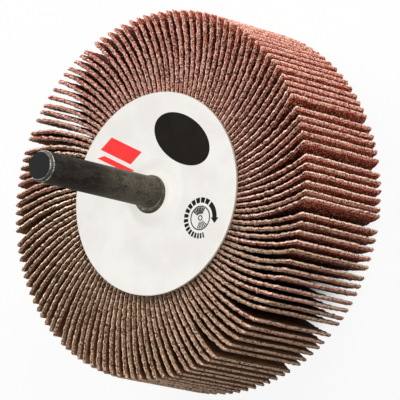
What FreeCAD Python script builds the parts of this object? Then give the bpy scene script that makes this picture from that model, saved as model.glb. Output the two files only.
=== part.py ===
import FreeCAD, Part
import math
import os

# Mounted flap wheel standing on its rear face, spindle up along +Z.
# Origin at the centre of the rear face. All sizes are in millimetres.

# Wheel
wheel_diameter = 76.2
wheel_width = 25.4

# Flaps of abrasive cloth, curved anticlockwise towards their tips
flap_count = 120
flap_thickness = 0.7
flap_root_gap = 0.35
flap_bend_radius = 39.5
bend_start_depth = 6.5

# Uneven sway of the flaps' tips, as shares of the gap between two tips, and where they part
wave_sway = 0.09
parted_sway = 0.6
parted_reach_degrees = 4.5
parted_azimuths = (11, 108, 139, 147, 175, 215, 283, 302, 338, 356)

# Spindle
spindle_diameter = 6.35
spindle_reach = 36.5
tip_chamfer_width = 0.45
tip_chamfer_length = 0.9

# Thicker body of the spindle, cast into the core and level with the bead's top
body_diameter = 6.7
rear_recess = 0.5

# Label, raised round the spindle by a mound of the core's resin
label_overhang = 0.85
label_thickness = 0.5
label_hole_clearance = 0.1
mound_height = 1.1
mound_top_radius = 4.5
mound_foot_radius = 7.1
ink_thickness = 0.05

# Bead of resin squeezed out of the label's hole, thicker on one side of the spindle
bead_radius = 3.95
bead_height = 0.7
bead_edge_radius = 0.5
bead_offset = 0.46
bead_azimuth = -132.0

# Black oval printed on the label
oval_long_radius = 8.0
oval_short_radius = 4.62
oval_offset = 12.5
oval_azimuth = 56.3

# Red bars printed on the label
bar_length = 10.5
wide_bar_height = 3.3
thin_bar_height = 1.1
bar_gap = 0.8
bar_offset = 13.0
bar_azimuth = 136.0
bar_turn = -27.0
bar_slant = 1.6

# Sign for the direction of rotation
sign_offset = 13.38
sign_azimuth = -28.7
sign_ring_radius = 2.5
sign_ring_line = 0.22
sign_hub_radius = 0.56
sign_hub_line = 0.2
upper_fan_azimuth = 99.0
upper_fan_flaps = 7
upper_flap_degrees = 9.5
lower_fan_azimuth = -77.0
lower_fan_flaps = 6
lower_flap_degrees = 6.0
fan_pitch_degrees = 12.7
fan_inner_radius = 0.85
fan_outer_radius = 2.2
dash_count = 16
dash_inner_radius = 3.1
dash_outer_radius = 4.17
first_dash_azimuth = -75.6
dash_gap_degrees = 4.5
thinnest_dash_degrees = 5.2
widest_dash_degrees = 15.4
arrow_start_azimuth = 46.0
arrow_sweep_degrees = 51.0
arrow_head_degrees = 16.8
arrow_head_inner_radius = 2.7
arrow_head_outer_radius = 4.65
arrow_tip_radius = 3.9

# Sizes worked out from those above
wheel_radius = wheel_diameter / 2
core_radius = flap_count * (flap_thickness + flap_root_gap) / (2 * math.pi)
label_radius = core_radius + label_overhang
spindle_radius = spindle_diameter / 2
body_radius = body_diameter / 2
label_top = wheel_width + label_thickness
mound_top = wheel_width + mound_height
raised_label_top = mound_top + label_thickness
bead_top = raised_label_top + bead_height
bend_start = core_radius - bend_start_depth
up = FreeCAD.Vector(0, 0, 1)
centre = FreeCAD.Vector(0, 0, 0)


def polar(radius, degrees, height=0.0):
    """Point at a distance and azimuth from the wheel's axis."""
    angle = math.radians(degrees)
    return FreeCAD.Vector(radius * math.cos(angle), radius * math.sin(angle), height)


def turned(profile):
    """Solid of revolution about the wheel's axis from a closed profile in the XZ plane."""
    return Part.Face(profile).revolve(centre, up, 360)


def polygon(points):
    """Closed wire through points, last joined to first."""
    return Part.makePolygon(points + [points[0]])


def extruded(wire, height):
    """Prism of one closed flat wire."""
    return Part.Face(wire).extrude(FreeCAD.Vector(0, 0, height))


def signed_turn(degrees):
    """Angle brought to between -180 and 180 degrees."""
    return (degrees + 180.0) % 360.0 - 180.0


def sway(azimuth):
    """Share of a tip gap by which the flap rooted at an azimuth sways anticlockwise."""
    angle = math.radians(azimuth)
    share = wave_sway * (math.sin(11 * angle) + math.sin(31 * angle + 1.0) + math.sin(47 * angle))
    for parting in parted_azimuths:
        away = signed_turn(azimuth - parting)
        share += math.copysign(parted_sway, away) * math.exp(-abs(away) / parted_reach_degrees)
    return share


def face_turn(reach, offset):
    """Angle from a flap's root to the point of its face at a distance from the axis.

    The flap stays radial up to the start of its bend, so the centre of its bend lies square
    to the radius there, and offset moves the arc from the flap's middle to its face.
    """
    centre_distance = math.hypot(bend_start, flap_bend_radius)
    centre_turn = math.degrees(math.atan2(flap_bend_radius, bend_start))
    face_radius = flap_bend_radius + offset
    across = reach * reach + centre_distance * centre_distance - face_radius * face_radius
    return centre_turn - math.degrees(math.acos(across / (2 * reach * centre_distance)))


def flap_side(azimuth, offset):
    """Arc along one face of a flap, from the core's rim to the wheel's rim."""
    half = flap_thickness / 2
    tip_turn = face_turn(wheel_radius, -half) - face_turn(wheel_radius, half)
    tip_gap = 360.0 / flap_count - tip_turn
    points = []
    for progress in (0.0, 0.5, 1.0):
        reach = core_radius + (wheel_radius - core_radius) * progress
        turn = face_turn(reach, offset) + tip_gap * sway(azimuth) * progress ** 2
        points.append(polar(reach, azimuth + turn))
    return Part.Arc(*points)


def flap_outline():
    """Closed outline of the core with all its flaps, run anticlockwise."""
    sides = []
    for number in range(flap_count):
        azimuth = 360.0 * number / flap_count
        sides.append(flap_side(azimuth, flap_thickness / 2))
        sides.append(flap_side(azimuth, -flap_thickness / 2))
    edges = []
    for number in range(flap_count):
        grit_side = sides[2 * number]
        cloth_side = sides[2 * number + 1]
        next_grit_side = sides[(2 * number + 2) % len(sides)]
        tip = Part.makeLine(grit_side.EndPoint, cloth_side.EndPoint)
        gap_bottom = Part.makeLine(cloth_side.StartPoint, next_grit_side.StartPoint)
        edges += [grit_side.toShape(), tip, cloth_side.toShape(), gap_bottom]
    return Part.Wire(Part.__sortEdges__(edges))


def section(*points):
    """Closed outline in the XZ plane through (radius, height) pairs."""
    return polygon([FreeCAD.Vector(radius, 0, height) for radius, height in points])


def make_spindle():
    """Chamfered round spindle with a thicker body below."""
    tip = wheel_width + spindle_reach
    return turned(section(
        (0, rear_recess),
        (body_radius, rear_recess),
        (body_radius, bead_top),
        (spindle_radius, bead_top),
        (spindle_radius, tip - tip_chamfer_length),
        (spindle_radius - tip_chamfer_width, tip),
        (0, tip),
    ))


def make_flap_pack(spindle):
    """Cast core with its flaps and its mound, cast round the spindle."""
    mound = turned(section(
        (0, wheel_width),
        (mound_foot_radius, wheel_width),
        (mound_top_radius, mound_top),
        (0, mound_top),
    ))
    recess = Part.makeCylinder(body_radius, rear_recess)
    return extruded(flap_outline(), wheel_width).fuse(mound).cut([spindle, recess])


def make_label():
    """Round label raised over the mound, with a hole for the spindle."""
    hole_radius = body_radius + label_hole_clearance
    return turned(section(
        (hole_radius, mound_top),
        (mound_top_radius, mound_top),
        (mound_foot_radius, wheel_width),
        (label_radius, wheel_width),
        (label_radius, label_top),
        (mound_foot_radius, label_top),
        (mound_top_radius, raised_label_top),
        (hole_radius, raised_label_top),
    ))


def make_bead(spindle):
    """Round bead with a rounded edge, set off the wheel's axis and run round the spindle."""
    place = polar(bead_offset, bead_azimuth, raised_label_top)
    bead = Part.makeCylinder(bead_radius, bead_height, place)
    top_edge = [edge for edge in bead.Edges if edge.Closed and edge.CenterOfMass.z > place.z]
    return bead.makeFillet(bead_edge_radius, top_edge).cut(spindle)


def on_label(shape, offset, azimuth, turn):
    """Shape drawn round its own origin, turned and set on the label's face."""
    shape.rotate(centre, up, turn)
    shape.translate(polar(offset, azimuth, label_top))
    return shape


def make_oval():
    """Black oval, its long axis square to the radius."""
    ellipse = Part.Ellipse(centre, oval_long_radius, oval_short_radius)
    oval = extruded(Part.Wire(ellipse.toShape()), ink_thickness)
    return on_label(oval, oval_offset, oval_azimuth, oval_azimuth - 90)


def slanted_bar(low, height):
    """Bar with slanted ends, its lower edge at low."""
    half = bar_length / 2
    corners = [
        FreeCAD.Vector(-half, low, 0),
        FreeCAD.Vector(half - bar_slant, low, 0),
        FreeCAD.Vector(half, low + height, 0),
        FreeCAD.Vector(bar_slant - half, low + height, 0),
    ]
    return extruded(polygon(corners), ink_thickness)


def make_bars():
    """Wide red bar over a thin one."""
    total = wide_bar_height + bar_gap + thin_bar_height
    thin = slanted_bar(-total / 2, thin_bar_height)
    wide = slanted_bar(total / 2 - wide_bar_height, wide_bar_height)
    return on_label(Part.Compound([thin, wide]), bar_offset, bar_azimuth, bar_turn)


def sector(inner, outer, start, sweep):
    """Prism over a stretch of a flat ring, run anticlockwise from start."""
    middle = start + sweep / 2
    end = start + sweep
    edges = [
        Part.Arc(polar(inner, start), polar(inner, middle), polar(inner, end)).toShape(),
        Part.makeLine(polar(inner, end), polar(outer, end)),
        Part.Arc(polar(outer, end), polar(outer, middle), polar(outer, start)).toShape(),
        Part.makeLine(polar(outer, start), polar(inner, start)),
    ]
    return extruded(Part.Wire(edges), ink_thickness)


def make_dashes():
    """Dashes that widen clockwise towards the arrow."""
    dashes = []
    start = first_dash_azimuth
    growth = (widest_dash_degrees - thinnest_dash_degrees) / (dash_count - 1)
    for number in range(dash_count):
        width = thinnest_dash_degrees + growth * number
        dashes.append(sector(dash_inner_radius, dash_outer_radius, start - width, width))
        start -= width + dash_gap_degrees
    return on_label(Part.Compound(dashes), sign_offset, sign_azimuth, 0)


def make_arrow():
    """Curved arrow that points clockwise."""
    head_base = arrow_start_azimuth - arrow_sweep_degrees
    shaft = sector(dash_inner_radius, dash_outer_radius, head_base, arrow_sweep_degrees)
    head = extruded(
        polygon([
            polar(arrow_head_inner_radius, head_base),
            polar(arrow_tip_radius, head_base - arrow_head_degrees),
            polar(arrow_head_outer_radius, head_base),
        ]),
        ink_thickness,
    )
    return on_label(shaft.fuse(head).removeSplitter(), sign_offset, sign_azimuth, 0)


def flat_ring(outer, line):
    """Thin printed circle."""
    disc = Part.makeCylinder(outer, ink_thickness)
    return disc.cut(Part.makeCylinder(outer - line, ink_thickness))


def fan(azimuth, flaps, width):
    """Fan of flaps drawn as stretches of a flat ring, centred on an azimuth."""
    first = azimuth - fan_pitch_degrees * (flaps - 1) / 2 - width / 2
    starts = [first + fan_pitch_degrees * number for number in range(flaps)]
    return [sector(fan_inner_radius, fan_outer_radius, start, width) for start in starts]


def make_wheel_symbol():
    """Small drawing of a wheel: a circle, its hub and two fans of flaps."""
    lines = [flat_ring(sign_ring_radius, sign_ring_line), flat_ring(sign_hub_radius, sign_hub_line)]
    lines += fan(upper_fan_azimuth, upper_fan_flaps, upper_flap_degrees)
    lines += fan(lower_fan_azimuth, lower_fan_flaps, lower_flap_degrees)
    return on_label(Part.Compound(lines), sign_offset, sign_azimuth, 0)


def main():
    os.makedirs("parts", exist_ok=True)
    spindle = make_spindle()
    nodes = {
        "spindle": spindle,
        "flap_pack": make_flap_pack(spindle),
        "label": make_label(),
        "adhesive_bead": make_bead(spindle),
        "printed_oval": make_oval(),
        "printed_bars": make_bars(),
        "rotation_dashes": make_dashes(),
        "rotation_arrow": make_arrow(),
        "wheel_symbol": make_wheel_symbol(),
    }
    for name, shape in nodes.items():
        shape.exportStep(f"parts/{name}.step")


main()
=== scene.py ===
import bpy
import math
import numpy as np
from mathutils import Matrix, Vector


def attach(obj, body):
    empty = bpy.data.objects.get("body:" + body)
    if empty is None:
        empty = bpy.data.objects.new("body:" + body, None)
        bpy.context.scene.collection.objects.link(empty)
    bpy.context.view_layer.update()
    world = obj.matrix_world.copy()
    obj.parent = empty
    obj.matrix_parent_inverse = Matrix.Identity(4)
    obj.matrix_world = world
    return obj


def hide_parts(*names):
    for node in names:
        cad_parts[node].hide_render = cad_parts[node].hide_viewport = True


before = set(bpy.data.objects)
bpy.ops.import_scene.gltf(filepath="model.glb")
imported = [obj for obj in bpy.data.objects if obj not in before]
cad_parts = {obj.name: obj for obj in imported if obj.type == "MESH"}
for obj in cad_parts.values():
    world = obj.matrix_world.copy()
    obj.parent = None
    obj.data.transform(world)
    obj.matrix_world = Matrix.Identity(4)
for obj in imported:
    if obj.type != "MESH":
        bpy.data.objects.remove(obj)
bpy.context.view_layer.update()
mm = 0.001
print("frame loaded:", ", ".join(sorted(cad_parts)))


# Shader helpers

class Flow:
    # One output socket of a material. Sums, products and the like on it add Math nodes.

    def __init__(self, tree, socket=None):
        self.tree = tree
        self.socket = socket

    def node(self, kind, settings=None, sockets=None, out=0):
        # Any node: its settings first, then values or links for its sockets.
        made = self.tree.nodes.new(kind)
        for name, value in (settings or {}).items():
            setattr(made, name, value)
        for name, value in (sockets or {}).items():
            if isinstance(value, Flow):
                self.tree.links.new(value.socket, made.inputs[name])
            else:
                made.inputs[name].default_value = value
        return Flow(self.tree, made.outputs[out])

    def math(self, operation, first, second, clamp=False):
        settings = {"operation": operation, "use_clamp": clamp}
        return self.node("ShaderNodeMath", settings, {0: first, 1: second})

    def __add__(self, other):
        return self.math("ADD", self, other)

    def __radd__(self, other):
        return self.math("ADD", other, self)

    def __sub__(self, other):
        return self.math("SUBTRACT", self, other)

    def __rsub__(self, other):
        return self.math("SUBTRACT", other, self)

    def __mul__(self, other):
        return self.math("MULTIPLY", self, other)

    def __rmul__(self, other):
        return self.math("MULTIPLY", other, self)

    def clipped(self):
        # The value held between 0 and 1.
        return self.math("ADD", self, 0.0, clamp=True)

    def band(self, low, high, most=1.0):
        # 0 below low, most above high, and a smooth step between them.
        return self.node("ShaderNodeMapRange", {"interpolation_type": "SMOOTHSTEP"},
                         {"Value": self, "From Min": low, "From Max": high, "To Max": most})

    def shifted(self, noise, amount):
        # The value moved up and down by a noise, amount wide in all.
        return self + (noise - 0.5) * amount

    def spread(self, low, high):
        # low where the value is 0 and high where it is 1.
        return self * (high - low) + low

    def least(self, *others):
        # The smallest of this value and others.
        value = self
        for other in others:
            value = self.math("MINIMUM", value, other)
        return value

    def blend(self, first, second):
        # Colour between first and second, by this value.
        return self.node("ShaderNodeMix", {"data_type": "RGBA"},
                         {0: self, 6: fullColour(first), 7: fullColour(second)}, out=2)

    def noise(self, size, detail=2.0, roughness=0.5, stretch=(1, 1, 1)):
        # Soft random value, its lumps about size metres wide, stretched along an axis.
        place = self.node("ShaderNodeVectorMath", {"operation": "MULTIPLY"},
                          {0: self, 1: tuple(1 / (size * s) for s in stretch)})
        return self.node("ShaderNodeTexNoise", {},
                         {"Vector": place, "Scale": 1.0, "Detail": detail, "Roughness": roughness})

    def grains(self, size, out="Distance"):
        # Cells about size metres wide: the distance to the middle of each, or its own random colour.
        return self.node("ShaderNodeTexVoronoi", {}, {"Vector": self, "Scale": 1 / size}, out=out)

    def bump(self, depth):
        # Normal of a surface raised by this value times depth metres.
        return self.node("ShaderNodeBump", {}, {"Height": self, "Distance": depth})

    def axis(self, letter):
        # One coordinate of a vector.
        return self.node("ShaderNodeSeparateXYZ", {}, {0: self}, out=letter)

    def reach(self):
        # Distance of a place from the wheel's axis.
        flat = self.node("ShaderNodeVectorMath", {"operation": "MULTIPLY"}, {0: self, 1: (1, 1, 0)})
        return self.node("ShaderNodeVectorMath", {"operation": "LENGTH"}, {0: flat}, out="Value")

    def tag(self, name):
        # A value that the mesh has at each of its points.
        return self.node("ShaderNodeAttribute", {"attribute_name": name}, out="Fac")


def fullColour(colour):
    return colour if isinstance(colour, Flow) else (*colour, 1)


def shade(red, green, blue):
    # Linear colour of a screen colour given from 0 to 255.
    parts = [value / 255 for value in (red, green, blue)]
    return tuple(p / 12.92 if p <= 0.04045 else ((p + 0.055) / 1.055) ** 2.4 for p in parts)


def makeMaterial(name, paint, specular=0.5):
    # paint gets the object's coordinates and returns what changes over the surface.
    material = bpy.data.materials.new(name)
    material.use_nodes = True
    tree = material.node_tree
    surface = tree.nodes["Principled BSDF"]
    surface.inputs["Specular IOR Level"].default_value = specular
    place = Flow(tree).node("ShaderNodeTexCoord", out="Object")
    for socket, value in paint(place).items():
        tree.links.new(value.socket, surface.inputs[socket])
    return material


# Mesh helpers

weldDistance = 0.0005 * mm


def buildPiece(name, points, triangles, sharpDegrees, tags=None, parts=None, materials=()):
    # points is (count, 3), triangles (count, 3) of indices, tags one value a point for each name,
    # parts the material's number of each triangle. Points in one place are welded first.
    places = np.round(points / weldDistance).astype(np.int64)
    first, number = np.unique(places, axis=0, return_index=True, return_inverse=True)[1:]
    triangles = number.reshape(-1)[triangles]
    whole = ((triangles[:, 0] != triangles[:, 1]) & (triangles[:, 1] != triangles[:, 2])
             & (triangles[:, 2] != triangles[:, 0]))
    triangles = triangles[whole]
    mesh = bpy.data.meshes.new(name)
    mesh.vertices.add(len(first))
    mesh.vertices.foreach_set("co", points[first].astype(np.float32).ravel())
    mesh.loops.add(triangles.size)
    mesh.loops.foreach_set("vertex_index", triangles.astype(np.int32).ravel())
    mesh.polygons.add(len(triangles))
    mesh.polygons.foreach_set("loop_start", np.arange(0, triangles.size, 3, dtype=np.int32))
    if parts is not None:
        mesh.polygons.foreach_set("material_index", parts[whole].astype(np.int32))
    for tag, values in (tags or {}).items():
        store = mesh.attributes.new(tag, "FLOAT", "POINT").data
        store.foreach_set("value", values[first].astype(np.float32))
    mesh.update(calc_edges=True)
    mesh.validate()
    mesh.shade_smooth()
    mesh.set_sharp_from_angle(angle=math.radians(sharpDegrees))
    for material in materials:
        mesh.materials.append(material)
    piece = bpy.data.objects.new(name, mesh)
    bpy.context.scene.collection.objects.link(piece)
    print(f"{name}: {len(triangles)} triangles")
    return piece


def gridTriangles(rows, columns, closed=False):
    # Two triangles for each cell of a grid of points numbered row by row; closed joins the last
    # column to the first.
    cells = np.arange(columns if closed else columns - 1)
    row, column = np.meshgrid(np.arange(rows - 1), cells, indexing="ij")
    nextColumn = (column + 1) % columns
    a, b = row * columns + column, row * columns + nextColumn
    c, d = (row + 1) * columns + nextColumn, (row + 1) * columns + column
    return np.stack([np.stack([a, b, c], -1), np.stack([a, c, d], -1)], 2).reshape(-1, 3)


def turnedPiece(name, profile, azimuths, sharpDegrees, material):
    # Profile (distance, height) turned about the wheel's axis, its last point joined to its first.
    angle = np.linspace(0, 2 * math.pi, azimuths, endpoint=False)
    distance = profile[:, None, 0]
    height = np.repeat(profile[:, 1:2], azimuths, 1)
    points = np.stack([distance * np.cos(angle), distance * np.sin(angle), height], -1)
    points = np.concatenate([points, points[:1]])
    triangles = gridTriangles(len(points), azimuths, closed=True)[:, ::-1]
    return buildPiece(name, points.reshape(-1, 3), triangles, sharpDegrees, materials=(material,))


# Wheel and flaps

wheel = {
    "radius": 38.1 * mm,
    "width": 25.4 * mm,
    "coreRadius": 20.05 * mm,
}

flaps = {
    "count": 120,
    "pieces": 3,
    "thickness": 0.7 * mm,
    "rootReach": 19.3 * mm,       # buried in the core
    "bendRadius": 39.5 * mm,
    "bendStart": 13.55 * mm,
    "rimWear": 0.03 * mm,         # the tips end this far inside the wheel's radius
    "waveSway": 0.09,             # sways are shares of the gap between two tips
    "swayWaves": ((11, 0.0), (31, 1.0), (47, 0.0)),           # waves round the wheel, phase
    "partedSway": 0.6,
    "partedReach": 4.5,           # degrees
    "partedAzimuths": (11, 108, 139, 147, 175, 215, 283, 302, 338, 356),
    "cornerRadius": 0.5 * mm,
    "cornerPoints": 4,
    "frontShare": 0.7,            # of the corner's radius counts as front
    "frontPoints": 62,
    "rimPoints": 66,
    "fanDepth": 3.0 * mm,         # the fan of faces behind the rim ends here
    "faceInset": 0.55 * mm,
    "faceUnevenness": 0.45,       # of that at the cut edge
    "edgeRidge": 0.3 * mm,        # the worn cut edge stands up to a ridge between its two faces
    "ridgeShape": ((-1, 1), (-0.58, 0.48), (-0.12, 0), (0.12, 0), (0.58, 0.48), (1, 1)),
    "slowWaves": ((9, 16), (14, 24)),                         # wavelengths in millimetres
    "smallWaves": ((2.4, 4.0), (1.5, 2.4), (1.0, 1.5)),
    "lumpWaves": ((0.9, 1.3), (0.75, 1.0), (1.4, 2.2)),
    "slowDepth": 0.08 * mm,
    "smallDepth": 0.06 * mm,
    "slowCalm": 0.6,              # shares of the waves that are lost at the rim
    "smallCalm": 0.5,
    "calmStart": 2 * mm,          # inside the rim
    "calmLength": 1.6 * mm,
    "freeLength": 4 * mm,         # the waves grow over this length from the core
    "speckSets": 5,
    "speckNick": 0.035 * mm,      # nicks cut into the edge
    "lumpNick": 0.02 * mm,
    "edgeSwell": 0.04 * mm,       # how far the frayed edge stands out of the faces
    "lumpSwell": 0.6,
    "speckSwell": 0.03 * mm,
    "clothLitAndRedAzimuth": 62,           # round here the cut edges' cloth side is painted lit and the flaps are reddest
    # The tone's swing round the wheel paints light and shade on the cut edges and reddens the grit;
    # toneSpread is each flap's own random part.
    "toneMiddle": 0.3,
    "toneSwing": 0.3,
    "toneSpread": 0.25,
    "sharpDegrees": 28,
    "seed": 41,
}


def flapTurn(reach, offset):
    # Angle from a flap's root to its face: the flap is radial up to bendStart and then bends on an
    # arc whose centre lies square to the radius there, and offset moves the arc to the face.
    centreDistance = math.hypot(flaps["bendStart"], flaps["bendRadius"])
    centreTurn = math.atan2(flaps["bendRadius"], flaps["bendStart"])
    faceRadius = flaps["bendRadius"] + offset
    across = reach ** 2 + centreDistance ** 2 - faceRadius ** 2
    return centreTurn - np.arccos(across / (2 * reach * centreDistance))


def tipSway(degrees):
    # Share of a tip gap by which each flap leans: three waves round the wheel, plus a push away
    # from each parting that dies off with the angle from it.
    angle = np.radians(degrees)
    share = flaps["waveSway"] * sum(np.sin(waves * angle + phase) for waves, phase in flaps["swayWaves"])
    for parting in flaps["partedAzimuths"]:
        away = (degrees - parting + 180) % 360 - 180
        push = np.where(away < 0, -1.0, 1.0) * np.exp(-np.abs(away) / flaps["partedReach"])
        share = share + flaps["partedSway"] * push
    return share


def flapOutline(inset):
    # (reach, height) round a flap: out along the front, round its corner, down the rim, round the
    # rear corner and back to the root, all drawn inwards by inset.
    corner, radius, width = flaps["cornerRadius"], wheel["radius"] - flaps["rimWear"], wheel["width"]
    out = np.linspace(flaps["rootReach"], radius - corner, flaps["frontPoints"])
    turn = np.linspace(0, math.pi / 2, flaps["cornerPoints"] + 2)[1:-1]
    down = np.linspace(width - corner, corner, flaps["rimPoints"])
    arc = max(corner - inset, 0.0)
    front = np.stack([out, np.full_like(out, width - inset)], -1)
    frontCorner = np.stack([radius - corner + arc * np.sin(turn), width - corner + arc * np.cos(turn)], -1)
    rim = np.stack([np.full_like(down, radius - inset), down], -1)
    rearCorner = np.stack([frontCorner[::-1, 0], width - frontCorner[::-1, 1]], -1)
    rear = np.stack([out[::-1], np.full_like(out, inset)], -1)
    return np.concatenate([front, frontCorner, rim, rearCorner, rear])


def randomWave(random, count, along, wavelengths):
    # Sum of sines along the outline for each flap, each with its own wavelength and phase,
    # brought to a spread of about 1.
    total = np.zeros((count, len(along)))
    for low, high in wavelengths:
        length = random.uniform(low, high, (count, 1)) * mm
        phase = random.uniform(0, 2 * math.pi, (count, 1))
        total += np.sin(2 * math.pi * along[None, :] / length + phase)
    return total / math.sqrt(len(wavelengths) / 2)


def flapRings():
    # Each ring round a flap, from the middle of its cloth face to the middle of its grit face: its
    # inset (none in the middle), its share of the thickness (-1 cloth, 1 grit) and its unevenness.
    inset, uneven = flaps["faceInset"], flaps["faceUnevenness"]
    ridge = [(flaps["edgeRidge"] * fall, share, 1.0) for share, fall in flaps["ridgeShape"]]
    return [(None, -1, 0.0), (inset, -1, uneven), *ridge, (inset, 1, uneven), (None, 1, 0.0)]


def flapSurface():
    # Rings of points round each flap, from the middle line of the cloth face out to the cut edge and
    # back in on the grit face. The position is reach, height and the turn of the ring's offset,
    # plus sway, slow waves and small wiggles at the edge.
    random = np.random.default_rng(flaps["seed"])
    count = flaps["count"]
    outline = flapOutline(0.0)
    steps = np.hypot(*np.diff(outline, axis=0).T)
    along = np.concatenate([[0.0], np.cumsum(steps)])
    azimuth = np.arange(count) * 360.0 / count
    half = flaps["thickness"] / 2
    middle = wheel["width"] / 2
    tipTurn = flapTurn(wheel["radius"], -half) - flapTurn(wheel["radius"], half)
    tipGap = 2 * math.pi / count - tipTurn
    slow = randomWave(random, count, along, flaps["slowWaves"])
    small = randomWave(random, count, along, flaps["smallWaves"])
    lumps = randomWave(random, count, along, flaps["lumpWaves"])
    specks = random.normal(0, 1, (flaps["speckSets"], count, len(along)))
    fromRim = outline[:, 0] - wheel["radius"]
    freeEnd = np.clip((outline[:, 0] - wheel["coreRadius"]) / flaps["freeLength"], 0, 1)
    onRim = np.clip((fromRim + flaps["calmStart"]) / flaps["calmLength"], 0, 1)
    onFront = np.abs(outline[:, 1] - middle) > middle - flaps["frontShare"] * flaps["cornerRadius"]
    slowSide = slow * flaps["slowDepth"] * (1 - flaps["slowCalm"] * onRim) * freeEnd
    smallSide = small * flaps["smallDepth"] * (1 - flaps["smallCalm"] * onRim) * freeEnd
    rings = flapRings()
    surface = np.zeros((count, len(rings), len(along), 3))
    layer = np.zeros((count, len(rings), len(along)))
    for number, (inset, share, rough) in enumerate(rings):
        if inset is None:
            reach = np.minimum(outline[:, 0], wheel["radius"] - flaps["fanDepth"])[None, :].repeat(count, 0)
            height = np.full((count, len(along)), middle)
            swell = 0.0
        else:
            path = flapOutline(inset)
            nickSpecks = specks[number % len(specks)]
            swellSpecks = specks[(number + 2) % len(specks)]
            nick = np.abs(nickSpecks) * flaps["speckNick"] + np.abs(lumps) * flaps["lumpNick"]
            towardsMiddle = np.sign(path[:, 1] - middle)
            reach = path[None, :, 0] - np.where(onFront, 0, 1) * nick * rough
            height = path[None, :, 1] - np.where(onFront, towardsMiddle, 0) * nick * rough
            swell = flaps["edgeSwell"] * (1 + flaps["lumpSwell"] * lumps) + swellSpecks * flaps["speckSwell"]
            swell = swell * share * rough
        progress = (reach - wheel["coreRadius"]) / (wheel["radius"] - wheel["coreRadius"])
        lean = tipGap * tipSway(azimuth)[:, None] * np.clip(progress, 0, None) ** 2
        side = slowSide * progress + smallSide * rough
        offset = half * share + swell
        turn = np.radians(azimuth)[:, None] + flapTurn(reach, offset) + lean + side / reach
        surface[:, number] = np.stack([reach * np.cos(turn), reach * np.sin(turn), height], -1)
        layer[:, number] = (share + 1) / 2
    return surface, layer


def makeFlaps(gritMaterial, clothMaterial, edgeMaterial):
    # Every piece has its share of the flaps. A flap's root is closed by joining its cloth rings to
    # its grit rings, so it is one closed shell.
    surface, layer = flapSurface()
    count, rings, stations = layer.shape
    gritPart, clothPart, edgePart = range(3)
    faceStrips = 2                # between the rings of one face, from its middle to the cut edge
    cells = gridTriangles(rings, stations)
    strip = np.repeat(np.arange(rings - 1), (stations - 1) * 2)
    kinds = np.where(strip < rings - 1 - faceStrips, edgePart, gritPart)
    kinds = np.where(strip < faceStrips, clothPart, kinds)
    ends = []
    for station in (0, stations - 1):
        column = np.arange(rings) * stations + station
        for ring in range(rings // 2):
            a, b = column[ring], column[ring + 1]
            c, d = column[rings - 2 - ring], column[rings - 1 - ring]
            ends += [(a, c, b), (a, d, c)] if station == 0 else [(a, b, c), (a, c, d)]
    ends = np.array(ends)
    cells = np.concatenate([cells, ends])
    kinds = np.concatenate([kinds, np.full(len(ends), edgePart)])
    # Tone: a random part for each flap, and a swing round the wheel that paints light and shade on the cut
    # edges.
    azimuth = np.radians(np.arange(count) * 360.0 / count - flaps["clothLitAndRedAzimuth"])
    spread = np.random.default_rng(flaps["seed"] + 1).uniform(0, flaps["toneSpread"], count)
    tone = spread + flaps["toneMiddle"] + flaps["toneSwing"] * np.cos(azimuth)
    made = []
    share = count // flaps["pieces"]
    for number in range(flaps["pieces"]):
        chosen = slice(number * share, (number + 1) * share)
        shifts = np.arange(share)[:, None, None] * rings * stations
        tags = {"layer": layer[chosen].reshape(-1), "tone": np.repeat(tone[chosen], rings * stations)}
        made.append(buildPiece(
            f"flaps_{number + 1}", surface[chosen].reshape(-1, 3), (cells[None] + shifts).reshape(-1, 3),
            flaps["sharpDegrees"], tags=tags, parts=np.tile(kinds, share),
            materials=(gritMaterial, clothMaterial, edgeMaterial)))
    return made


# Finishes of the flaps. A pair of colours is for the flaps of low tone and of high tone, brown and red,
# and at the cut edge the threads and bond pairs also hold painted light and shade. A band's third number is
# the most that its colour covers.

depths = {
    "frontWeight": 3.0,           # less light comes in from the front and rear
    "lump": 1.5 * mm,
    "unevenness": 0.9 * mm,
}

grit = {
    "grain": 0.33 * mm,
    "clump": 0.5 * mm,
    "redTone": (0.16, 0.46),
    # The first colours are painted light at the free edges; deep and deepest are painted shade between the
    # flaps.
    "paintedEdgeLight": (shade(196, 148, 118), shade(214, 122, 98)),
    "ground": (shade(150, 96, 70), shade(184, 74, 54)),
    "grains": (shade(226, 190, 158), shade(246, 176, 146)),
    "deep": shade(88, 24, 11),
    "deepest": shade(48, 13, 6),
    "bond": shade(64, 14, 6),
    "hollow": shade(62, 14, 6),
    "groundDepth": (-0.3 * mm, 0.6 * mm),
    "deepDepth": (0.4 * mm, 3.0 * mm),
    "deepestDepth": (3 * mm, 8 * mm),
    "grainBand": (0.5, 0.95, 0.75),
    "bondBand": (0.3, 0.75, 0.8),
    "hollowBand": (0.5, 0.62, 0.65),
    "grainHeight": 0.7,
    "relief": 0.28 * mm,
    "roughness": (0.6, 0.85),
}

cloth = {
    "thread": 0.4 * mm,
    # The first colour is painted light at the free edges; deepest is painted shade between the flaps.
    "paintedEdgeLight": shade(168, 132, 100),
    "ground": shade(104, 68, 44),
    "deepest": shade(40, 22, 12),
    "hollow": shade(72, 44, 27),
    "groundDepth": (-0.2 * mm, 2.4 * mm),
    "deepestDepth": (2 * mm, 8 * mm),
    "hollowBand": (0.5, 0.66, 0.45),
    "relief": 0.2 * mm,
    "roughness": (0.65, 0.85),
}

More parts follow.
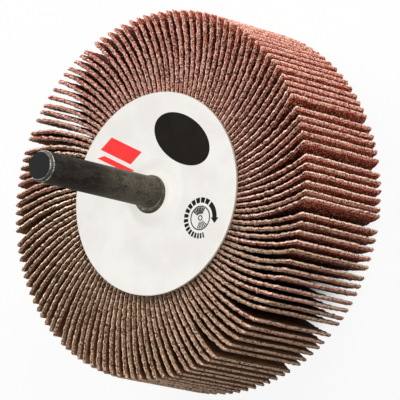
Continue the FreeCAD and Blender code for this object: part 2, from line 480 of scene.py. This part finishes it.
cutEdge = {
    "clothLitAndRedTone": (0.2, 0.56),
    "paleTone": (0.5, 0.85),
    # Of the threads and bond pairs, one colour is painted lit and the other painted shaded; paleThreads and
    # paleBond add painted light on the highest tones.
    "threads": (shade(154, 114, 88), shade(224, 178, 156)),
    "paleThreads": shade(255, 224, 206),
    "rimThreads": (shade(232, 196, 168), shade(255, 222, 200)),
    "bond": (shade(255, 230, 202), shade(158, 88, 72)),
    "paleBond": shade(192, 120, 102),
    "flushBond": shade(194, 94, 74),
    "rimBond": (shade(164, 116, 90), shade(200, 106, 88)),
    "ends": (shade(226, 196, 168), shade(255, 226, 206)),
    "pits": (shade(66, 34, 22), shade(92, 24, 12)),
    "tear": 0.4 * mm,             # size of the ragged lumps
    "meeting": (0.32, 0.64),      # of threads and bond, as shares of the thickness
    "meetingShift": 0.6,
    "rimLean": 0.12,
    "rimReach": (36.6 * mm, 37.8 * mm),
    "rimShift": 1.5 * mm,
    "flushReach": (26 * mm, 37 * mm, 0.7),
    "flushShift": 5 * mm,
    "end": 0.34 * mm,
    "endBand": (0.5, 0.6, 0.6),
    "pit": 0.44 * mm,
    "pitBand": (0.37, 0.48),
    "pitShare": 0.85,
    "relief": 0.4 * mm,
    "roughness": (0.85, 0.7),     # threads, bond
}


def depthInside(place):
    # Distance of a place from the nearest of the wheel's rim, front and rear, the last two counted
    # more, and uneven by a noise. The grit and cloth paint light and shade by it.
    height = place.axis("Z")
    front = (wheel["width"] - height) * depths["frontWeight"]
    nearest = (wheel["radius"] - place.reach()).least(height * depths["frontWeight"], front)
    return nearest.shifted(place.noise(depths["lump"]), depths["unevenness"])


def paintGrit(place):
    # Reddish brown abrasive grain: grains in their own tones with dark bond between them, painted
    # light along the free edges and painted shade deep between the flaps, and browner on low-tone flaps.
    depth = depthInside(place)
    red = place.tag("tone").band(*grit["redTone"])
    cells = place.grains(grit["grain"])
    random = place.grains(grit["grain"], out="Color").axis("X")
    clumps = place.noise(grit["clump"], roughness=0.6)
    # Painted light at the free edges, darkening into painted shade with depth between the flaps.
    ground = depth.band(*grit["groundDepth"]).blend(red.blend(*grit["paintedEdgeLight"]), red.blend(*grit["ground"]))
    ground = depth.band(*grit["deepDepth"]).blend(ground, grit["deep"])
    ground = depth.band(*grit["deepestDepth"]).blend(ground, grit["deepest"])
    colour = random.band(*grit["grainBand"]).blend(ground, red.blend(*grit["grains"]))
    colour = cells.band(*grit["bondBand"]).blend(colour, grit["bond"])
    colour = clumps.band(*grit["hollowBand"]).blend(colour, grit["hollow"])
    height = (1 - cells) * grit["grainHeight"] + clumps
    return {"Base Color": colour, "Roughness": random.spread(*grit["roughness"]),
            "Normal": height.bump(grit["relief"])}


def paintCloth(place):
    # Brown backing cloth: threads under resin, duller in the hollows, with painted light along the
    # free edges and painted shade deep between the flaps.
    depth = depthInside(place)
    threads = place.noise(cloth["thread"], roughness=0.6)
    # Painted light at the free edges, darkening into painted shade with depth between the flaps.
    colour = depth.band(*cloth["groundDepth"]).blend(cloth["paintedEdgeLight"], cloth["ground"])
    colour = depth.band(*cloth["deepestDepth"]).blend(colour, cloth["deepest"])
    colour = threads.band(*cloth["hollowBand"]).blend(colour, cloth["hollow"])
    return {"Base Color": colour, "Roughness": threads.spread(*cloth["roughness"]),
            "Normal": threads.bump(cloth["relief"])}


def paintEdge(place):
    # Cut edge: threads on its cloth side and bond on its grit side, ragged where they meet. The tone
    # paints light and shade on it: on high-tone flaps the threads are painted lit and pale and the bond
    # shaded and reddish, most so at the rim, and on low-tone flaps the threads are painted shaded brown
    # and the bond lit and pale. Light thread ends and dark pits lie over both.
    layer = place.tag("layer")
    # The tone paints light and shade on the edge here, besides the flaps' own redness.
    clothLitAndRed = place.tag("tone").band(*cutEdge["clothLitAndRedTone"])
    pale = place.tag("tone").band(*cutEdge["paleTone"])
    ragged = place.noise(cutEdge["tear"], detail=3)
    rim = place.reach().shifted(ragged, cutEdge["rimShift"]).band(*cutEdge["rimReach"])
    flush = place.reach().shifted(ragged, cutEdge["flushShift"]).band(*cutEdge["flushReach"]) * clothLitAndRed
    threads = pale.blend(clothLitAndRed.blend(*cutEdge["threads"]), cutEdge["paleThreads"])
    threads = rim.blend(threads, clothLitAndRed.blend(*cutEdge["rimThreads"]))
    bond = pale.blend(clothLitAndRed.blend(*cutEdge["bond"]), cutEdge["paleBond"])
    bond = flush.blend(bond, cutEdge["flushBond"])
    bond = rim.blend(bond, clothLitAndRed.blend(*cutEdge["rimBond"]))
    across = layer.shifted(ragged, cutEdge["meetingShift"]) - rim * clothLitAndRed * cutEdge["rimLean"]
    colour = across.band(*cutEdge["meeting"]).blend(threads, bond)
    ends = place.noise(cutEdge["end"], detail=1, roughness=0.6)
    pits = place.noise(cutEdge["pit"], detail=1, roughness=0.6)
    colour = ends.band(*cutEdge["endBand"]).blend(colour, clothLitAndRed.blend(*cutEdge["ends"]))
    pitted = (1 - pits.band(*cutEdge["pitBand"])) * cutEdge["pitShare"]
    colour = pitted.blend(colour, (rim * clothLitAndRed).blend(*cutEdge["pits"]))
    height = ends + pits
    return {"Base Color": colour, "Roughness": layer.spread(*cutEdge["roughness"]),
            "Normal": height.bump(cutEdge["relief"])}


# Core

core = {
    "azimuths": 180,
    "edgePoints": 5,
    "rearPoints": 14,
    "wallPoints": 7,
    "rearDish": 0.12 * mm,
    "edgeRadius": 0.25 * mm,
    "bore": 3.37 * mm,
    "moundHeight": 1.1 * mm,
    "moundTop": 4.5 * mm,
    "moundFoot": 7.1 * mm,
    "topGap": 0.02 * mm,          # keeps the mound under the label
    "footGap": 0.05 * mm,
    "sharpDegrees": 40,
}

resin = {
    "dark": shade(58, 44, 36),
    "light": shade(84, 66, 54),
    "flow": 4 * mm,
    "flowBand": (0.35, 0.65),
    "pit": 0.9 * mm,
    "pitBand": (0.0, 0.18),
    "flowHeight": 0.6,            # of a pit's
    "relief": 0.12 * mm,
    "roughness": (0.3, 0.6),
}

bead = {
    "dark": shade(68, 65, 50),
    "light": shade(112, 106, 84),
    "speckColour": shade(40, 37, 28),
    "cloud": 1.2 * mm,
    "cloudBand": (0.35, 0.65),
    "speck": 0.3 * mm,
    "speckBand": (0.5, 0.62, 0.7),
    "speckHeight": 0.5,           # of the cloudy lumps'
    "relief": 0.3 * mm,
    "roughness": (0.4, 0.7),
}


def makeCore(material):
    # Profile from the rounded lip of the bore over the dished rear, round the rounded edge, up the
    # wall and over the mound on the front.
    outer, width, bore = wheel["coreRadius"], wheel["width"], core["bore"]
    edge, gap = core["edgeRadius"], core["topGap"]
    bend = np.linspace(0, math.pi / 2, core["edgePoints"])
    across = np.linspace(bore + edge, outer - edge, core["rearPoints"])
    middle = (across - (bore + outer) / 2) / ((outer - bore) / 2)
    rear = np.stack([across, core["rearDish"] * np.clip(1 - middle ** 2, 0, None)], -1)
    rim = np.stack([outer - edge + edge * np.sin(bend), edge - edge * np.cos(bend)], -1)
    up = np.linspace(edge, width, core["wallPoints"])[1:]
    wall = np.stack([np.full_like(up, outer), up], -1)
    top = width + core["moundHeight"] - gap
    foot = [core["moundFoot"] - core["footGap"], width]
    front = np.array([foot, [core["moundTop"] - gap, top], [bore, top]])
    lip = np.stack([bore + edge - edge * np.cos(bend), edge - edge * np.sin(bend)], -1)
    profile = np.concatenate([lip, rear[1:-1], rim, wall, front])
    return turnedPiece("cast_core", profile, core["azimuths"], core["sharpDegrees"], material)


def paintResin(place):
    # Cast resin: dark, slightly glossy, with flow marks and small pits.
    flow = place.noise(resin["flow"], detail=4)
    pits = place.grains(resin["pit"])
    colour = flow.band(*resin["flowBand"]).blend(resin["dark"], resin["light"])
    height = flow * resin["flowHeight"] + pits.band(*resin["pitBand"])
    return {"Base Color": colour, "Roughness": flow.spread(*resin["roughness"]),
            "Normal": height.bump(resin["relief"])}


def paintBead(place):
    # Olive resin bead: cloudy, lumpy and a little glossy.
    cloud = place.noise(bead["cloud"], detail=4)
    specks = place.noise(bead["speck"], detail=3)
    colour = cloud.band(*bead["cloudBand"]).blend(bead["dark"], bead["light"])
    colour = specks.band(*bead["speckBand"]).blend(colour, bead["speckColour"])
    height = cloud + specks * bead["speckHeight"]
    return {"Base Color": colour, "Roughness": specks.spread(*bead["roughness"]),
            "Normal": height.bump(bead["relief"])}


# Spindle

spindle = {
    "blotches": {"size": 2.0 * mm, "detail": 5, "stretch": (1, 1, 1.6)},
    "streaks": {"size": 0.5 * mm, "detail": 4, "stretch": (1, 1, 5)},
    "stains": {"size": 1.2 * mm, "detail": 5, "roughness": 0.6, "stretch": (1, 1, 2.2)},
    "flecks": {"size": 0.22 * mm, "detail": 2, "stretch": (1, 1, 1.5)},
    "chips": {"size": 0.5 * mm, "detail": 4, "roughness": 0.7},
    "foot": shade(87, 82, 72),
    "shaft": shade(34, 30, 26),
    "shaftHeight": (39 * mm, 48 * mm),
    "shaftShift": 12 * mm,
    "blotch": shade(104, 98, 85),
    "blotchBand": (0.44, 0.6, 0.5),
    "blotchFade": 0.7,            # share of the blotches that is lost on the shaft
    "streak": shade(98, 92, 81),
    "streakBand": (0.52, 0.68, 0.3),
    "stain": shade(34, 30, 25),
    "stainBand": (0.52, 0.6, 0.45),
    "fleck": shade(26, 23, 19),
    "fleckBand": (0.48, 0.64, 0.65),
    "chamfer": shade(82, 80, 74),
    "chamferHeight": (60.9 * mm, 61.05 * mm),
    "chamferReach": (2.72 * mm, 2.76 * mm),
    "chamferShare": 0.8,
    "glint": shade(212, 210, 203),
    "glintShare": 0.85,
    "faceRimReach": (2.8 * mm, 2.9 * mm),
    "shoulderLow": (60.85 * mm, 60.95 * mm),
    "shoulderHigh": (61.05 * mm, 61.2 * mm),
    "shoulderShift": 0.5 * mm,
    "glintHeight": (60.6 * mm, 60.7 * mm),
    "chipBand": (0.42, 0.6),
    "endFace": shade(14, 14, 15),
    "endFaceHeight": (61.86 * mm, 61.88 * mm),
    "relief": 0.024 * mm,
    "roughness": (0.5, 0.7),
    "glintPolish": 0.2,           # taken off the roughness
    "metallic": 0.25,
    "glintMetallic": 0.4,
}


def paintSpindle(place):
    # Dark oxide steel: marks and stains along its length, lighter towards the label, and worn bright
    # in chips along both edges of the tip's chamfer, whose light colour is a painted highlight. The end face
    # is plain black.
    height = place.axis("Z")
    reach = place.reach()
    blotches, streaks, stains, flecks, chips = [
        place.noise(**spindle[kind]) for kind in ("blotches", "streaks", "stains", "flecks", "chips")]
    shaft = height.shifted(blotches, spindle["shaftShift"]).band(*spindle["shaftHeight"])
    colour = shaft.blend(spindle["foot"], spindle["shaft"])
    blotched = blotches.band(*spindle["blotchBand"]) * (1 - shaft * spindle["blotchFade"])
    colour = blotched.blend(colour, spindle["blotch"])
    colour = streaks.band(*spindle["streakBand"]).blend(colour, spindle["streak"])
    colour = stains.band(*spindle["stainBand"]).blend(colour, spindle["stain"])
    colour = flecks.band(*spindle["fleckBand"]).blend(colour, spindle["fleck"])
    offFace = reach.band(*spindle["chamferReach"])
    chamfer = height.band(*spindle["chamferHeight"]) * offFace * spindle["chamferShare"]
    colour = chamfer.blend(colour, spindle["chamfer"])
    faceRim = 1 - reach.band(*spindle["faceRimReach"])
    shoulder = height.shifted(chips, spindle["shoulderShift"]).band(*spindle["shoulderLow"])
    shoulder = shoulder * (1 - height.band(*spindle["shoulderHigh"]))
    nearTip = offFace * height.band(*spindle["glintHeight"])
    # The glint colour paints a highlight on the worn chips along the chamfer's edges.
    glint = ((faceRim + shoulder) * nearTip * chips.band(*spindle["chipBand"])).clipped()
    colour = (glint * spindle["glintShare"]).blend(colour, spindle["glint"])
    face = height.band(*spindle["endFaceHeight"]) * (1 - offFace)
    colour = face.blend(colour, spindle["endFace"])
    relief = streaks + flecks + blotches
    return {"Base Color": colour,
            "Roughness": flecks.spread(*spindle["roughness"]) - glint * spindle["glintPolish"],
            "Metallic": (1 - face) * spindle["metallic"] + glint * spindle["glintMetallic"],
            "Normal": relief.bump(spindle["relief"])}


# Label and print

label = {
    "radius": 20.904 * mm,
    "thickness": 0.5 * mm,
    "hole": 3.45 * mm,
    "edgeRound": 0.08 * mm,
    "edgePoints": 4,
    "rise": 1.1 * mm,
    "riseEnds": (3.9 * mm, 7.55 * mm),
    "risePoints": 34,
    "bend": 0.55,                 # share of the rise that is rounded off
    "flatStart": 0.6 * mm,        # from the foot of the rise to the first ring of the flat part
    "flatPoints": 16,
    "azimuths": 240,
    "sharpDegrees": 40,
    "board": (shade(231, 228, 223), shade(239, 237, 232)),
    "boardBand": (0.3, 0.7),
    "cloud": 7 * mm,
    "fibre": 0.25 * mm,
    "fibreColour": shade(224, 220, 212),
    "fibreBand": (0.6, 0.75, 0.2),
    "cutColour": shade(206, 192, 164),
    "cutReach": (20.72 * mm, 20.87 * mm, 0.7),
    "cutShift": 0.12 * mm,
    "middleColour": shade(244, 241, 229),
    "middleReach": (4.2 * mm, 6 * mm),
    "middleShift": 3 * mm,
    "middleShare": 0.4,
    "cloudHeight": 1.5,
    "fibreHeight": 0.06,
    "relief": 0.15 * mm,
    "roughness": (0.42, 0.57),
}

ink = {
    "black": (shade(34, 31, 28), shade(43, 40, 36)),
    "red": (shade(252, 62, 62), shade(255, 74, 72)),
    "mottle": 0.35 * mm,
    "mottleBand": (0.35, 0.7, 0.6),
    "patch": 3 * mm,
    "patchBand": (0.4, 0.7, 0.4),
    "relief": 0.02 * mm,
    "roughness": (0.4, 0.6),
}


def labelRise(distance):
    # Height of the label over its flat part: a straight slope between the two ends of the rise,
    # both rounded off by parabolas.
    low, high = label["riseEnds"]
    soft = label["bend"] / 2
    part = np.clip((high - distance) / (high - low), 0, 1)
    slope = 1 / (1 - soft)
    start = slope * np.minimum(part, soft) ** 2 / (2 * soft)
    middle = slope * np.clip(part - soft, 0, 1 - 2 * soft)
    rest = np.clip(part - 1 + soft, 0, soft)
    end = slope * (rest - rest ** 2 / (2 * soft))
    return label["rise"] * (start + middle + end)


def makeLabel(material):
    # Profile out along the underside, round the outer edge and back in over the front.
    base, top, edge = wheel["width"], wheel["width"] + label["thickness"], label["edgeRound"]
    riseFoot = label["riseEnds"][1]
    inner = np.linspace(label["hole"], riseFoot, label["risePoints"])
    outer = np.linspace(riseFoot + label["flatStart"], label["radius"], label["flatPoints"])
    across = np.concatenate([inner, outer])
    under = np.stack([across, base + labelRise(across)], -1)
    over = np.stack([across[::-1], top + labelRise(across[::-1])], -1)
    turn = np.linspace(0, math.pi / 2, label["edgePoints"])
    corner = np.stack([label["radius"] - edge + edge * np.cos(turn), top - edge + edge * np.sin(turn)], -1)
    profile = np.concatenate([under, corner, over[1:]])
    return turnedPiece("label_board", profile, label["azimuths"], label["sharpDegrees"], material)


def paintLabel(place):
    # Satin white board, faintly uneven, with fine fibres and a beige cut edge, creamy round the
    # spindle.
    cloud = place.noise(label["cloud"], detail=3)
    fibres = place.noise(label["fibre"], detail=3)
    colour = cloud.band(*label["boardBand"]).blend(*label["board"])
    colour = fibres.band(*label["fibreBand"]).blend(colour, label["fibreColour"])
    cut = place.reach().shifted(fibres, label["cutShift"]).band(*label["cutReach"])
    colour = cut.blend(colour, label["cutColour"])
    middle = 1 - place.reach().shifted(cloud, label["middleShift"]).band(*label["middleReach"])
    colour = (middle * label["middleShare"]).blend(colour, label["middleColour"])
    height = cloud * label["cloudHeight"] + fibres * label["fibreHeight"]
    return {"Base Color": colour, "Roughness": fibres.spread(*label["roughness"]),
            "Normal": height.bump(label["relief"])}


def inkPainter(name):
    # Printed ink between a dark and a light tone: an even coat with a fine mottle and wide patches.
    def paint(place):
        mottle = place.noise(ink["mottle"], detail=3)
        patches = place.noise(ink["patch"], detail=3)
        lightness = mottle.band(*ink["mottleBand"]) + patches.band(*ink["patchBand"])
        return {"Base Color": lightness.blend(*ink[name]), "Roughness": mottle.spread(*ink["roughness"]),
                "Normal": mottle.bump(ink["relief"])}
    return paint


# Build the pieces

gritMaterial = makeMaterial("abrasive grit", paintGrit, specular=0.06)
clothMaterial = makeMaterial("backing cloth", paintCloth, specular=0.05)
edgeMaterial = makeMaterial("cut edge", paintEdge, specular=0.05)
resinMaterial = makeMaterial("cast resin", paintResin)
spindleMaterial = makeMaterial("oxide steel", paintSpindle, specular=0.1)
labelMaterial = makeMaterial("label board", paintLabel, specular=0.4)
beadMaterial = makeMaterial("squeezed resin", paintBead, specular=0.2)
blackInk = makeMaterial("black ink", inkPainter("black"), specular=0.0)
redInk = makeMaterial("red ink", inkPainter("red"), specular=0.0)
print("materials made")

flapPieces = makeFlaps(gritMaterial, clothMaterial, edgeMaterial)
corePiece = makeCore(resinMaterial)
labelPiece = makeLabel(labelMaterial)
for piece in (*flapPieces, corePiece, labelPiece):
    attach(piece, "root")
for piece in (*flapPieces, corePiece):
    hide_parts("flap_pack")
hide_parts("label")
print("flaps, core and label made")

nodeFinishes = {
    "spindle": spindleMaterial,
    "adhesive_bead": beadMaterial,
    "printed_oval": blackInk,
    "printed_bars": redInk,
    "rotation_dashes": blackInk,
    "rotation_arrow": blackInk,
    "wheel_symbol": blackInk,
}
for name, material in nodeFinishes.items():
    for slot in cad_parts[name].material_slots:
        slot.material = material
print("finishes on the carried-over nodes")


# Floor, light and camera

studio = {
    "floorSize": 3.0,
    "floorPoints": 3,
    "floorGap": 0.02 * mm,
    "floorColour": shade(238, 237, 235),
    "floorRoughness": 0.9,
    "floorLift": 0.91,
    "floorLiftFrom": (24 * mm, 37 * mm),      # no lift under the wheel, all of it beside it
    "worldLight": 0.14,
    "lamps": (
        # name, azimuth, elevation, distance, width, height, watts
        ("key", 138, 19, 0.80, 0.6, 0.2, 8.4),
        ("back", 58, 18, 0.80, 0.5, 0.2, 6.3),
        ("fill", -20, 34, 0.80, 0.6, 0.5, 1.3),
        ("top", 60, 84, 0.90, 0.6, 0.6, 0.5),
        ("label", 60, 84, 0.90, 0.6, 0.6, 6.8),
    ),
}


def seenDirectly(tree):
    # 1 for rays from the camera, and for those mirrored or passed on to it.
    paths = [Flow(tree).node("ShaderNodeLightPath", out=name)
             for name in ("Is Camera Ray", "Is Glossy Ray", "Is Transmission Ray")]
    return (paths[0] + paths[1] + paths[2]).clipped()


def makeFloor():
    # Flat square: two parameters from -0.5 to 0.5 times its side. It is lifted to white where the
    # camera sees it beside the wheel, and keeps its own shaded colour under the wheel.
    side = np.linspace(-0.5, 0.5, studio["floorPoints"]) * studio["floorSize"]
    x, y = np.meshgrid(side, side, indexing="ij")
    points = np.stack([x, y, np.full_like(x, -studio["floorGap"])], -1).reshape(-1, 3)
    material = bpy.data.materials.new("floor")
    material.use_nodes = True
    tree = material.node_tree
    surface = tree.nodes["Principled BSDF"]
    surface.inputs["Base Color"].default_value = (*studio["floorColour"], 1)
    surface.inputs["Roughness"].default_value = studio["floorRoughness"]
    surface.inputs["Specular IOR Level"].default_value = 0.0
    glow = Flow(tree).node("ShaderNodeEmission", {}, {"Color": (1, 1, 1, 1), "Strength": 1.0})
    place = Flow(tree).node("ShaderNodeTexCoord", out="Object")
    lift = place.reach().band(*studio["floorLiftFrom"]) * seenDirectly(tree) * studio["floorLift"]
    own = Flow(tree, surface.outputs[0])
    mixed = Flow(tree).node("ShaderNodeMixShader", {}, {0: lift, 1: own, 2: glow})
    tree.links.new(mixed.socket, tree.nodes["Material Output"].inputs["Surface"])
    triangles = gridTriangles(len(side), len(side))[:, ::-1]
    floor = buildPiece("floor", points, triangles, sharpDegrees=30, materials=(material,))
    return floor


def makeWorld():
    # White where it is seen directly, and a dim light on everything else.
    world = bpy.data.worlds.new("studio")
    bpy.context.scene.world = world
    world.use_nodes = True
    tree = world.node_tree
    strength = seenDirectly(tree) * (1 - studio["worldLight"]) + studio["worldLight"]
    tree.links.new(strength.socket, tree.nodes["Background"].inputs["Strength"])
    tree.nodes["Background"].inputs["Color"].default_value = (1, 1, 1, 1)


def fromAzimuth(azimuth, elevation):
    # Unit vector towards an azimuth and elevation in degrees.
    a, e = math.radians(azimuth), math.radians(elevation)
    return Vector((math.cos(e) * math.cos(a), math.cos(e) * math.sin(a), math.sin(e)))


def makeGroup(name, pieces):
    group = bpy.data.collections.new(name)
    for piece in pieces:
        group.objects.link(piece)
    return group


def makeLamps(front, others):
    # The key and back lamps stand low and would leave one side of the label's slope dark, so the
    # label and its print have a lamp of their own above them, of the same strength there. Only the
    # flaps, core and label hold these lamps back, and the spindle leaves no shadow on the label.
    blockers = makeGroup("blockers", (*flapPieces, corePiece, labelPiece))
    lit = {"label": makeGroup("lit from above", front)}
    lit["key"] = lit["back"] = makeGroup("lit from low down", others)
    aim = Vector((0, 0, wheel["width"]))
    for name, azimuth, elevation, distance, width, height, watts in studio["lamps"]:
        light = bpy.data.lights.new(name, "AREA")
        light.shape = "RECTANGLE"
        light.size = width
        light.size_y = height
        light.energy = watts
        lamp = bpy.data.objects.new(name, light)
        direction = fromAzimuth(azimuth, elevation)
        lamp.location = aim + direction * distance
        lamp.rotation_euler = direction.to_track_quat("Z", "Y").to_euler()
        bpy.context.scene.collection.objects.link(lamp)
        if name in lit:
            lamp.light_linking.receiver_collection = lit[name]
            lamp.light_linking.blocker_collection = blockers


view = {
    "aim": Vector((11.224, -2.626, 25.368)) * mm,
    "azimuth": -17.292,
    "elevation": 50.222,
    "distance": 854.0 * mm,
    "roll": -76.38,
    "lens": 382.9,
    "sensorWidth": 36.0,
    "farthest": 20.0,
}


def makeCamera():
    # The camera looks at aim from its azimuth and elevation, turned about its own line of sight.
    data = bpy.data.cameras.new("camera")
    data.lens = view["lens"]
    data.sensor_width = view["sensorWidth"]
    data.clip_end = view["farthest"]
    camera = bpy.data.objects.new("camera", data)
    back = fromAzimuth(view["azimuth"], view["elevation"])
    side = Vector((0, 0, 1)).cross(back).normalized()
    top = back.cross(side)
    roll = math.radians(view["roll"])
    right = math.cos(roll) * side + math.sin(roll) * top
    above = back.cross(right)
    turn = Matrix((right, above, back)).transposed().to_4x4()
    turn.translation = view["aim"] + back * view["distance"]
    camera.matrix_world = turn
    bpy.context.scene.collection.objects.link(camera)
    bpy.context.scene.camera = camera


floorPiece = makeFloor()
makeWorld()
printed = [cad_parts[name] for name, finish in nodeFinishes.items() if finish in (blackInk, redInk)]
makeLamps((labelPiece, *printed), (
    *flapPieces, corePiece, floorPiece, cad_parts["spindle"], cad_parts["adhesive_bead"]))
makeCamera()
bpy.context.scene.view_settings.view_transform = "Standard"
print("floor, light and camera made")
